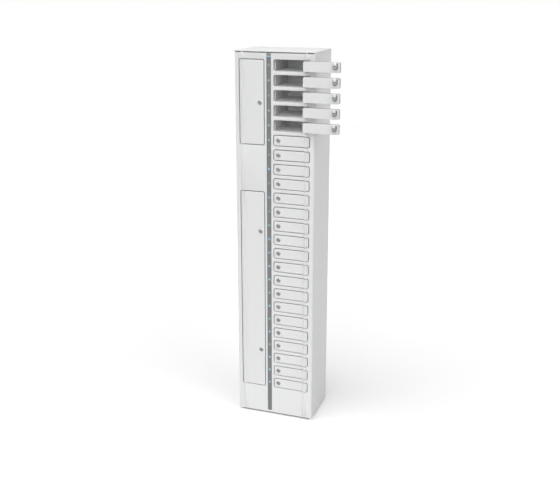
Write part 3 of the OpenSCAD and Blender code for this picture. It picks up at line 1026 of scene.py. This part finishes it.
class RepeatTree:
    """A node group that repeats a small shape along a straight line of points."""

    def __init__(self, name: str, material: bpy.types.Material) -> None:
        """Builds the group, with named inputs for the count, the step and the shape.

        Args:
            name: the group's name.
            material: the copies' material.
        """
        self.group = bpy.data.node_groups.new(name, "GeometryNodeTree")
        face = self.group.interface
        face.new_socket("Geometry", in_out="OUTPUT", socket_type="NodeSocketGeometry")
        for label, kind in (("Count", "NodeSocketInt"), ("Start", "NodeSocketVector"),
                            ("Step", "NodeSocketVector"), ("Shape", "NodeSocketObject")):
            face.new_socket(label, in_out="INPUT", socket_type=kind)
        nodes, links = self.group.nodes, self.group.links
        given = nodes.new("NodeGroupInput")
        line = nodes.new("GeometryNodeMeshLine")
        line.mode = "OFFSET"
        shape = nodes.new("GeometryNodeObjectInfo")
        copies = nodes.new("GeometryNodeInstanceOnPoints")
        real = nodes.new("GeometryNodeRealizeInstances")
        coat = nodes.new("GeometryNodeSetMaterial")
        coat.inputs["Material"].default_value = material
        result = nodes.new("NodeGroupOutput")
        links.new(given.outputs["Count"], line.inputs["Count"])
        links.new(given.outputs["Start"], line.inputs["Start Location"])
        links.new(given.outputs["Step"], line.inputs["Offset"])
        links.new(given.outputs["Shape"], shape.inputs["Object"])
        links.new(line.outputs["Mesh"], copies.inputs["Points"])
        links.new(shape.outputs["Geometry"], copies.inputs["Instance"])
        links.new(copies.outputs["Instances"], real.inputs["Geometry"])
        links.new(real.outputs["Geometry"], coat.inputs["Geometry"])
        links.new(coat.outputs["Geometry"], result.inputs["Geometry"])
        self.sockets = {s.name: s.identifier for s in face.items_tree if s.in_out == "INPUT"}

    def repeat(self, name: str, shape: bpy.types.Object, count: int, start: Vector,
               step: Vector) -> bpy.types.Object:
        """Returns a plain mesh object of the repeated shape.

        Args:
            name: the new object's name.
            shape: the shape, at the origin.
            count: how many copies.
            start: where the first one goes.
            step: the way from each copy to the next.
        """
        piece = bpy.data.objects.new(name, bpy.data.meshes.new(name))
        bpy.context.scene.collection.objects.link(piece)
        modifier = piece.modifiers.new("repeat", "NODES")
        modifier.node_group = self.group
        for label, value in (("Count", count), ("Start", start), ("Step", step), ("Shape", shape)):
            modifier[self.sockets[label]] = value
        bake_modifiers(piece)
        return piece


# Sub-assemblies


@dataclass
class HingeBead:
    """The hinge barrel's plan: a round barrel that runs out into the face through hollow curves."""

    barrel_r: float = 6.0
    cove_r: float = 8.0
    root: float = 1.2
    end_round: float = 0.25
    boss_r: float = 4.2
    boss_sunk: float = 1.0
    steps: int = 7

    def plan(self) -> list[Point]:
        """Returns (x, depth) points about the hinge line, from one foot over to the other."""
        proud, count = LAYOUT.hinge_proud, self.steps
        foot = math.sqrt((self.barrel_r + self.cove_r) ** 2 - (self.cove_r - proud) ** 2)
        reach = math.atan2(foot, self.cove_r - proud)
        cove = [
            (foot - self.cove_r * math.sin(t), -self.cove_r * (1 - math.cos(t)))
            for t in (reach * step / count for step in range(count + 1))
        ]
        side = math.pi / 2 - reach
        barrel = [
            (self.barrel_r * math.cos(t), -proud - self.barrel_r * math.sin(t))
            for t in (side + (math.pi / 2 - side) * step / count for step in range(1, count + 1))
        ]
        half = [(foot, self.root)] + cove + barrel
        return half + [(-x, y) for x, y in reversed(half[:-1])]


@dataclass
class FrontFrame:
    """The welded front: one sheet with folded openings, its corner posts and its hinge barrels.

    A face of the sheet counts as flat or upright from these shares of its normal on, and its
    channel ends channel_clear outside the strip's edges. plate_inset keeps the closing plate
    inside the posts.
    """

    finishes: Finishes
    bead: HingeBead
    fold_r: float = 0.7
    seam: float = 0.05
    flat_share: float = 0.9
    upright_share: float = 0.5
    channel_clear: float = 1.0
    plate_inset: float = 0.3

    def build(self) -> None:
        """Builds the sheet and the barrels."""
        self._sheet()
        self._inner_parts()
        self._barrels()

    def _openings(self) -> tuple[list[tuple[float, ...]], list[tuple[float, ...]]]:
        """Returns the outlines of the tall and the small openings."""
        lay = LAYOUT
        left, right = lay.side_margin, lay.side_margin + lay.side_opening_w
        spans = ((lay.upper_door_rows - 1, lay.upper_door_rows), (lay.rows - 1, lay.lower_rows))
        tall = [
            (left, lay.row_z(row), right, lay.row_z(row) + lay.span_h(rows)) for row, rows in spans
        ]
        left, right = lay.small_x0, lay.small_x0 + lay.opening_w
        heights = [lay.row_z(row) for row in range(lay.rows)]
        small = [(left, z, right, z + lay.opening_h) for z in heights]
        return tall, small

    def _sheet(self) -> None:
        """Builds the folded front sheet with its thickness."""
        lay = LAYOUT
        sheet = Sheet("front_sheet")
        low, high = lay.body_z0, lay.body_z1
        tall, small = self._openings()
        r, wide = lay.corner_r, lay.width
        post = [(0.0, lay.return_depth)]
        post += [(r * (1 - math.cos(t)), r * (1 - math.sin(t))) for t in quarter(8)]
        edge = lay.strip_x0 - self.fold_r
        channel = [
            (edge + self.fold_r * math.sin(t), self.fold_r * (1 - math.cos(t))) for t in quarter(4)
        ]
        channel.append((lay.strip_x0, lay.channel_depth))
        centre = lay.strip_x0 + lay.strip_x1
        strips = (
            post,
            channel + [(centre - x, y) for x, y in reversed(channel)],
            [(wide - x, y) for x, y in reversed(post)],
        )
        for strip in strips:
            rails = [[sheet.point(x, y, z) for x, y in strip] for z in (low, high)]
            for i in range(len(strip) - 1):
                sheet.bm.faces.new((rails[0][i], rails[0][i + 1], rails[1][i + 1], rails[1][i]))
        self._flat(sheet, r, lay.strip_x0 - self.fold_r, low, high, tall)
        self._flat(sheet, lay.strip_x1 + self.fold_r, wide - r, low, high, small)
        sheet.merge()
        facing = max(sheet.bm.faces, key=lambda face: face.calc_area())
        if facing.normal.y > 0:
            bmesh.ops.reverse_faces(sheet.bm, faces=sheet.bm.faces)
        self._thicken(sheet)

    def _flat(self, sheet: Sheet, x0: float, x1: float, low: float, high: float,
              openings: Sequence[tuple[float, ...]]) -> None:
        """Adds one flat part of the front with its folded openings.

        Args:
            sheet: the front sheet.
            x0, x1: its left and right edge.
            low, high: its lower and upper edge.
            openings: the left, lower, right and upper edge of each opening.
        """
        lay = LAYOUT
        profile = [*fold(self.fold_r), (0.0, lay.return_depth - lay.sheet_t)]
        holes = []
        for left, bottom, right, top in openings:
            outlines = [
                (rounded_outline(left - out, bottom - out, right + out, top + out,
                                 lay.opening_r + out), depth)
                for out, depth in profile
            ]
            sheet.tube(outlines)
            holes.append(outlines[0][0])
        sheet.face([(x0, low), (x1, low), (x1, high), (x0, high)], holes, 0.0)

    def _thicken(self, sheet: Sheet) -> None:
        """Gives the sheet its thickness and adopts it.

        Args:
            sheet: the front sheet.
        """
        piece = sheet.as_object(self.finishes.of(self.finishes.white))
        wall = piece.modifiers.new("wall", "SOLIDIFY")
        wall.thickness, wall.offset = LAYOUT.thin_t * MM, -1.0
        wall.use_even_offset = True
        bake_modifiers(piece)
        rounded(piece, 0.0)
        corner = place(0, 0, 0)
        self._shade_folds(marked(piece, lambda point: (point - corner).y / MM))
        self._adopt(piece)

    def _shade_folds(self, piece: bpy.types.Object) -> None:
        """Gives the folds round the openings their painted shade, by whether a door stands in them.

        Args:
            piece: the front sheet with its thickness.
        """
        # Painted shade: folds in the door gaps and the open returns take the darker finishes.
        for finish in (self.finishes.open_fold, self.finishes.shut_fold):
            piece.data.materials.append(self.finishes.of(finish))
        open_index, shut_index = 1, 2
        lay, away = LAYOUT, self.channel_clear
        lowest_open = lay.row_z(lay.open_rows - 1) * MM
        low, high, strip0, middle, strip1 = (place(x, 0, 0).x for x in (
            lay.side_margin / 2, lay.width - lay.side_margin / 2,
            lay.strip_x0 - away, lay.strip_x, lay.strip_x1 + away,
        ))
        for face in piece.data.polygons:
            x, z = face.center.x, face.center.z
            flat = abs(face.normal.y) > self.flat_share
            if flat or not low < x < high or strip0 < x < strip1:
                continue
            upright = abs(face.normal.x) > self.upright_share
            if x < middle or (upright and z < lowest_open):
                face.material_index = shut_index
            elif upright:
                face.material_index = open_index

    def _inner_parts(self) -> None:
        """Builds the lips that the cams catch and the closing plate under the lid."""
        lay = LAYOUT
        lips = Sheet("cam_lips")
        left, right = lay.side_margin + lay.side_opening_w, lay.small_x0
        back, front = lay.return_depth, lay.return_depth - lay.sheet_t
        last = lay.width - lay.side_margin
        for x0, x1 in (
            (left - lay.lip_w, left + lay.sheet_t),
            (right - lay.sheet_t, right + lay.lip_w),
            (lay.side_margin - lay.sheet_t, lay.side_margin),
            (last, last + lay.sheet_t),
        ):
            lips.box(x0, front - self.seam, lay.body_z0, x1, back, lay.body_z1 - lay.sheet_t)
        self._adopt(lips.close(self.finishes.white, self.finishes, 0.2))
        plate = Sheet("front_top_return")
        inset, r = self.plate_inset, lay.corner_r - self.plate_inset
        half = [(inset, back)]
        half += [
            (inset + r * (1 - math.cos(t)), inset + r * (1 - math.sin(t))) for t in quarter(8)
        ]
        plan = half + [(lay.width - x, y) for x, y in reversed(half)]
        top = lay.body_z1 - self.seam
        plate.column(plan, lambda x, y: top - lay.sheet_t, lambda x, y: top)
        self._adopt(plate.close(self.finishes.white, self.finishes))

    def _adopt(self, piece: bpy.types.Object) -> None:
        """Makes a finished piece part of the front frame."""
        adopt(piece, "cabinet", "front_frame")

    def _barrels(self) -> None:
        """Builds the barrels of the cross pieces, the repeated ones from one shape."""
        lay = LAYOUT
        reach, right_x, left_x = lay.knuckle_reach, lay.right_hinge_x, lay.left_hinge_x
        rail_h = lay.row_pitch - lay.opening_h
        shape = self._barrel("rail_barrel_shape", 0.0, 0.0, rail_h, reach, reach)
        tree = RepeatTree("rail_barrel_row", self.finishes.of(self.finishes.white))
        first = lay.row_z(lay.rows - 1) + lay.opening_h
        start, step = Vector((right_x * MM, 0.0, first * MM)), Vector((0, 0, lay.row_pitch * MM))
        rows = tree.repeat("rail_barrels", shape, lay.rows - 1, start, step)
        self._adopt(rounded(rows, 0.0))
        bpy.data.objects.remove(shape)
        tall, small = self._openings()
        ends = [
            (right_x, small[0][3], lay.body_z1, reach, 0.0),
            (right_x, lay.body_z0, small[-1][1], -lay.knuckle_gap, reach),
            (left_x, tall[0][3], lay.body_z1, reach, 0.0),
            (left_x, tall[1][3], tall[0][1], reach, reach),
            (left_x, lay.body_z0, tall[1][1], -lay.knuckle_gap, reach),
        ]
        for number, (x, low, high, below, above) in enumerate(ends, 1):
            self._adopt(self._barrel(f"panel_barrel_{number}", x, low, high, below, above))
        bosses = Sheet("top_bosses")
        boss_z0, boss_z1 = lay.body_z1 - self.bead.boss_sunk, lay.cover_z0 - lay.knuckle_gap
        for x in (left_x, right_x):
            plan = [(px, y - lay.hinge_proud) for px, y in ring(x, 0.0, self.bead.boss_r)]
            bosses.column(plan, lambda px, y: boss_z0, lambda px, y: boss_z1)
        self._adopt(bosses.close(self.finishes.white, self.finishes))

    def _barrel(self, name: str, x: float, low: float, high: float, below: float,
                above: float) -> bpy.types.Object:
        """Returns one barrel; its root stays inside the piece that carries it.

        Args:
            name: the piece's name.
            x: the hinge line's place.
            low, high: the ends of the cross piece.
            below, above: how far the barrel stands past them.
        """
        sheet = Sheet(name)
        plan = [(x + px, y) for px, y in self.bead.plan()]
        sheet.column(
            plan,
            lambda px, y: low + max(0.0, -below) if y > 0 else low - below,
            lambda px, y: high if y > 0 else high + above,
        )
        return sheet.close(self.finishes.white, self.finishes, self.bead.end_round)


@dataclass
class Door:
    """A folded door pan with its hinge barrel and liner, and its lock bodies."""

    node: str
    hinge_x: float
    side: int
    reach: float
    z0: float
    height: float
    finishes: Finishes
    bead: HingeBead
    locks: tuple[Point, ...]
    angle: float = 0.0
    fold_r: float = 0.6
    rim_r: float = 0.4
    liner_gap: float = 0.1
    liner_soft: float = 0.3

    def build(self) -> None:
        """Builds the door's pieces where the door stands."""
        self._pan()
        self._liner()
        self._locks()

    @property
    def corner_r(self) -> float:
        """Corner radius of the door, concentric with the opening's."""
        return LAYOUT.opening_r - LAYOUT.door_gap

    @property
    def tail(self) -> float:
        """Width of the door past its hinge line."""
        return LAYOUT.hinge_edge - LAYOUT.door_gap

    def _turned(self) -> Matrix:
        """Returns the turn about the hinge rod, in millimetres."""
        pivot = Vector((self.hinge_x, -LAYOUT.hinge_proud, 0.0))
        turn = Matrix.Rotation(math.radians(self.angle), 4, "Z")
        return Matrix.Translation(pivot) @ turn @ Matrix.Translation(-pivot)

    def _edges(self) -> tuple[float, float]:
        """Returns the left and right edge of the closed door."""
        ends = (self.hinge_x - self.side * self.tail, self.hinge_x + self.side * self.reach)
        return min(ends), max(ends)

    def _pan(self) -> None:
        """Builds the folded skin and its barrel."""
        lay = LAYOUT
        x0, x1 = self._edges()
        z1 = self.z0 + self.height
        wall = lay.thin_t
        profile = fold(self.fold_r) + [
            (0.0, lay.door_t - self.rim_r), (self.rim_r, lay.door_t),
            (wall, lay.door_t), (wall, wall),
        ]
        skin = Sheet(f"{self.node}_pan")
        skin.pan(x0, self.z0, x1, z1, self.corner_r, profile, self._holes())
        self._barrel(skin, x0, x1, z1)
        piece = skin.close(self.finishes.door, self.finishes, turn=self._turned())
        adopt(piece, self.node, self.node)

    def _holes(self) -> list[list[Point]]:
        """Returns the outlines of the lock holes."""
        return [ring(x, z, LOCK.body_r + LOCK.hole_clear) for x, z in self.locks]

    def _barrel(self, skin: Sheet, x0: float, x1: float, z1: float) -> None:
        """Adds the barrel, its ends cut by the door's round corners.

        Args:
            skin: the door's skin.
            x0, x1: the closed door's left and right edge.
            z1: its upper edge.
        """
        r = self.corner_r

        def rise(x: float) -> float:
            """Height of the outline above the door's lower edge."""
            off = min(x - x0, x1 - x, r)
            return r - math.sqrt(max(r * r - (r - off) ** 2, 0.0))

        plan = [(self.hinge_x + px, min(y, LAYOUT.thin_t / 2)) for px, y in self.bead.plan()]
        skin.column(plan, lambda x, y: self.z0 + rise(x), lambda x, y: z1 - rise(x))

    def _liner(self) -> None:
        """Builds the inner plate that closes the pan."""
        lay = LAYOUT
        x0, x1 = self._edges()
        edge, soft = lay.thin_t + self.liner_gap, self.liner_soft
        front, back = lay.door_t - lay.thin_t, lay.door_t
        liner = Sheet(f"{self.node}_liner")
        liner.pan(
            x0 + edge, self.z0 + edge, x1 - edge, self.z0 + self.height - edge,
            self.corner_r - edge, [(0.0, front), (0.0, back - soft), (soft, back)], self._holes(),
        )
        piece = liner.close(self.finishes.white, self.finishes, turn=self._turned())
        adopt(piece, self.node, self.node)

    def _locks(self) -> None:
        """Builds the lock bodies: a domed collar on a neck, and the case behind the door."""
        collars, cases = Sheet(f"{self.node}_lock_collar"), Sheet(f"{self.node}_lock_case")
        for x, z in self.locks:
            collars.lathe(x, z, LOCK.collar_section())
            self._case(cases, x, z)
        for sheet, finish in ((collars, self.finishes.nickel), (cases, self.finishes.case)):
            piece = sheet.close(finish, self.finishes, turn=self._turned())
            adopt(piece, self.node, self.node)

    def _case(self, cases: Sheet, x: float, z: float) -> None:
        """Adds one lock case: round below, flat on top, with the plug's bore through it.

        Args:
            cases: the door's lock cases.
            x, z: the lock's axis.
        """
        lock, soft = LOCK, LOCK.case_corner
        outlines = []
        for inset, depth in (
            (0.0, LAYOUT.door_t), (0.0, lock.case_end - lock.case_soft),
            (lock.case_soft, lock.case_end),
        ):
            r = lock.case_r - inset
            across, up = r - soft, z + lock.case_rise - inset - soft
            turns = [math.pi * (1 + step / lock.case_steps) for step in range(lock.case_steps + 1)]
            outline = [(x + r * math.cos(t), z + r * math.sin(t)) for t in turns]
            outline += [
                (x + across + soft * math.cos(t), up + soft * math.sin(t)) for t in quarter(4)
            ]
            outline += [
                (x - across - soft * math.sin(t), up + soft * math.cos(t)) for t in quarter(4)
            ]
            outlines.append((outline, depth))
        cases.body(outlines, [ring(x, z, lock.bore_r)])


@dataclass
class CamLock:
    """A lock's turning plug with its cam and screw."""

    node: str
    finishes: Finishes

    def build(self) -> None:
        """Dresses the plug, and the cam with its screw."""
        plug, *behind = sorted(node_parts(self.node), key=lambda part: -extent(part).y)
        arm, screw = sorted(behind, key=lambda part: -max(extent(part)))
        middle = sum((vert.co for vert in screw.verts), Vector()) / len(screw.verts)
        for name, part, finish, bevel in (
            ("plug", plug, self.finishes.plug, 0.2),
            ("arm", arm, self.finishes.arm, 0.3),
            ("screw", screw, self.finishes.screw, 0.3),
        ):
            piece = part_piece(f"{self.node}_{name}", [part], finish, self.finishes, bevel)
            marked(piece, lambda point: (point - middle).length / MM)
            adopt(piece, self.node, self.node)


@dataclass
class Carcass:
    """Panels, lid, base, inner sheets and hinge rods."""

    finishes: Finishes
    grommet_span: float = 60.0
    rivet_r: float = 2.6
    rivet_h: float = 0.9
    rivet_root: float = 0.3
    rivet_pitch: float = 153.0
    rivet_edge: float = 9.0
    rivet_first: float = 27.0
    rivet_sides: int = 12
    rivet_sharp: float = 60.0

    def build(self) -> None:
        """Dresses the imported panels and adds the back's rivets."""
        panels, grommet = [], []
        for part in node_parts("cabinet_shell"):
            small = max(extent(part).x, extent(part).z) < self.grommet_span * MM
            (grommet if small else panels).append(part)
        for name, parts, finish, bevel in (
            ("panels", panels, self.finishes.white, 0.0),
            ("cable_grommet", grommet, self.finishes.rubber, 0.4),
        ):
            piece = part_piece(name, parts, finish, self.finishes, bevel)
            adopt(piece, "cabinet", "cabinet_shell")
        self._rivets()
        for node, finish, bevel in (
            ("top_cover", self.finishes.white, 0.5),
            ("base_plinth", self.finishes.base, 0.0),
            ("compartment_rack", self.finishes.inner, 0.0),
            ("hinge_rods", self.finishes.steel, 0.4),
        ):
            piece = part_piece(f"{node}_dressed", node_parts(node), finish, self.finishes, bevel)
            adopt(piece, "cabinet", node)

    def _rivets(self) -> None:
        """Builds the two columns of dome rivets that hold the back panel."""
        lay = LAYOUT
        sheet = Sheet("rivet_shape")
        section = [(self.rivet_r, -self.rivet_root)]
        section += [
            (self.rivet_r * math.cos(t), self.rivet_h * math.sin(t)) for t in quarter(3)[:3]
        ]
        sheet.loft([
            [sheet.point(x, y, z) for x, z in ring(0.0, 0.0, r, self.rivet_sides)]
            for r, y in section
        ])
        shape = sheet.close(self.finishes.white, self.finishes)
        shape.data.transform(Matrix.Translation(-place(0, 0, 0)))
        tree = RepeatTree("rivet_column", self.finishes.of(self.finishes.white))
        count = int((lay.body_z1 - lay.body_z0 - 2 * self.rivet_edge) / self.rivet_pitch) + 1
        step = Vector((0, 0, self.rivet_pitch * MM))
        right = lay.width - self.rivet_edge
        for name, x in (("left_rivets", self.rivet_edge), ("right_rivets", right)):
            start = place(x, lay.depth, lay.body_z0 + self.rivet_first)
            piece = rounded(tree.repeat(name, shape, count, start, step), 0.0, self.rivet_sharp)
            adopt(piece, "cabinet", "cabinet_shell")
        bpy.data.objects.remove(shape)


@dataclass
class LightStrip:
    """The diffuser with its lenses and the status bar, and the cap that closes its channel, near
    black as painted shade for the lid's shadow on the strip's top.
    """

    finishes: Finishes
    cap_gap: float = 0.3
    cap_inset: float = 1.2
    cap_lap: float = 3.0

    def build(self) -> None:
        """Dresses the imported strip."""
        finish = self.finishes.diffuser
        piece = part_piece("lamp_strip", node_parts("light_strip"), finish, self.finishes, 0.2)
        adopt(piece, "cabinet", "light_strip")
        lay = LAYOUT
        # Painted shade: a near-black cap under the lid stands in for the lid's shadow on the strip.
        cap = Sheet("lamp_strip_end_cap")
        cap.box(lay.strip_x0 + self.cap_gap, self.cap_inset, lay.body_z1 - self.cap_lap,
                lay.strip_x1 - self.cap_gap, lay.channel_depth, lay.cover_z0 - self.cap_gap)
        finish = self.finishes.cap
        adopt(cap.close(finish, self.finishes, 0.4), "cabinet", "light_strip")


@dataclass(frozen=True)
class SoftBox:
    """A distant, wide light.

    The direction is the azimuth from which it shines, in degrees from +X, and its elevation. The
    level is the tone that it alone gives a white surface that faces it.
    """

    name: str
    azimuth: float
    elevation: float
    level: float
    spread: float

    def build(self) -> None:
        """Adds the light."""
        lamp = bpy.data.lights.new(self.name, "SUN")
        lamp.energy, lamp.angle = self.level * math.pi, math.radians(self.spread)
        stand = bpy.data.objects.new(self.name, lamp)
        tilt, heading = math.radians(90 - self.elevation), math.radians(90 + self.azimuth)
        stand.rotation_euler = (tilt, 0.0, heading)
        bpy.context.scene.collection.objects.link(stand)


@dataclass
class Studio:
    """Pale floor, soft light and the photograph's camera."""

    floor_tone: float = 0.76
    floor_cloud: float = 0.98
    floor_lift: float = 0.20
    floor_half: float = 9000.0
    floor_t: float = 10.0
    world_strength: float = 0.25
    lights: tuple[SoftBox, ...] = (
        SoftBox("key_light", -130.0, 58.0, 0.41, 45.0),
        SoftBox("side_light", -27.0, 38.0, 0.315, 45.0),
        SoftBox("front_light", -84.0, 20.0, 0.275, 30.0),
        SoftBox("top_light", -90.0, 86.0, 0.23, 60.0),
    )
    camera_at: tuple[float, float, float] = (1.39105, -3.91643, 2.17349)
    yaw: float = 19.774
    pitch: float = 16.744
    lens: float = 54.93
    film_w: float = 36.0

    def build(self) -> None:
        """Sets the floor, world, lamps and camera."""
        scene = bpy.context.scene
        scene.view_settings.view_transform = "Standard"
        self._world(scene)
        self._floor()
        for light in self.lights:
            light.build()
        self._camera(scene)

    def _world(self, scene: bpy.types.Scene) -> None:
        """White to the camera and in reflections, softer as light.

        Args:
            scene: the scene.
        """
        world = bpy.data.worlds.new("studio")
        scene.world = world
        world.use_nodes = True
        nodes, links = world.node_tree.nodes, world.node_tree.links
        background = nodes["Background"]
        path = nodes.new("ShaderNodeLightPath")
        seen = nodes.new("ShaderNodeMath")
        seen.operation = "MAXIMUM"
        glossy = nodes.new("ShaderNodeMath")
        glossy.operation = "MAXIMUM"
        level = nodes.new("ShaderNodeMapRange")
        level.inputs["To Min"].default_value = self.world_strength
        level.inputs["To Max"].default_value = 1.0
        links.new(path.outputs["Is Camera Ray"], seen.inputs[0])
        links.new(path.outputs["Is Glossy Ray"], glossy.inputs[0])
        links.new(path.outputs["Is Transmission Ray"], glossy.inputs[1])
        links.new(glossy.outputs[0], seen.inputs[1])
        links.new(seen.outputs[0], level.inputs["Value"])
        links.new(level.outputs[0], background.inputs["Strength"])
        background.inputs["Color"].default_value = (1, 1, 1, 1)

    def _floor(self) -> None:
        """A wide pale floor that keeps the object's shadow."""
        floor = Sheet("studio_floor")
        half = self.floor_half
        floor.box(-half, -half, -self.floor_t, half, half, 0.0)
        floor.bm.transform(Matrix.Scale(MM, 4))
        shader = Shader("pale_floor")
        tones = [(self.floor_tone * share,) * 3 for share in (1.0, self.floor_cloud)]
        seen = shader.node("ShaderNodeLightPath", out="Is Camera Ray")
        shader.set(
            Base_Color=shader.blend(shader.noise(2.0), *tones),
            Roughness=0.9,
            Specular_IOR_Level=0.1,
            Emission_Color=seen * self.floor_lift,
            Emission_Strength=1.0,
        )
        piece = mesh_object(floor.name, floor.bm, shader.material)

    def _camera(self, scene: bpy.types.Scene) -> None:
        """The camera at the photograph's place.

        Args:
            scene: the scene.
        """
        data = bpy.data.cameras.new("camera")
        data.lens, data.sensor_width = self.lens, self.film_w
        camera = bpy.data.objects.new("camera", data)
        camera.location = self.camera_at
        camera.rotation_euler = (math.radians(90 - self.pitch), 0.0, math.radians(self.yaw))
        scene.collection.objects.link(camera)
        scene.camera = camera


def small_doors(finishes: Finishes, bead: HingeBead) -> list[Door]:
    """Returns the column of small doors, the first ones standing open.

    Args:
        finishes: the object's finishes.
        bead: the hinge barrel's plan.
    """
    lay = LAYOUT
    height = lay.opening_h - 2 * lay.door_gap
    reach = lay.opening_w - lay.hinge_edge - lay.door_gap
    lock_x = lay.small_x0 + lay.small_lock_x
    doors = []
    for row in range(lay.rows):
        z = lay.row_z(row)
        angle = lay.open_angle if row < lay.open_rows else 0.0
        doors.append(Door(
            f"compartment_door_{row + 1:02d}", lay.right_hinge_x, -1, reach, z + lay.door_gap,
            height, finishes, bead, ((lock_x, z + lay.opening_h / 2),), angle,
        ))
    return doors


def tall_doors(finishes: Finishes, bead: HingeBead) -> list[Door]:
    """Returns the two tall doors beside the column.

    Args:
        finishes: the object's finishes.
        bead: the hinge barrel's plan.
    """
    lay = LAYOUT
    reach = lay.side_opening_w - lay.hinge_edge - lay.door_gap
    lock_x = lay.side_margin + lay.side_opening_w - lay.side_lock_x
    upper_h, lower_h = lay.span_h(lay.upper_door_rows), lay.span_h(lay.lower_rows)
    upper_z, lower_z = lay.row_z(lay.upper_door_rows - 1), lay.row_z(lay.rows - 1)
    lower_locks = (lower_z + lay.side_lock_z, lower_z + lower_h - lay.side_lock_z)
    return [
        Door(node, lay.left_hinge_x, 1, reach, z + lay.door_gap, height - 2 * lay.door_gap,
             finishes, bead, tuple((lock_x, lock_z) for lock_z in lock_heights))
        for node, z, height, lock_heights in (
            ("upper_side_door", upper_z, upper_h, (upper_z + upper_h / 2,)),
            ("lower_side_door", lower_z, lower_h, lower_locks),
        )
    ]


def main() -> None:
    """Builds every sub-assembly in order."""
    logging.basicConfig(level=logging.INFO, format="%(name)s: %(message)s")
    Studio().build()
    finishes, bead = Finishes(), HingeBead()
    FrontFrame(finishes, bead).build()
    Carcass(finishes).build()
    LightStrip(finishes).build()
    for door in small_doors(finishes, bead) + tall_doors(finishes, bead):
        door.build()
    cams = [f"lock_cam_{row + 1:02d}" for row in range(LAYOUT.rows)]
    for node in cams + ["upper_door_cam", "lower_door_cam_high", "lower_door_cam_low"]:
        CamLock(node, finishes).build()


if __name__ == "__main__":
    main()
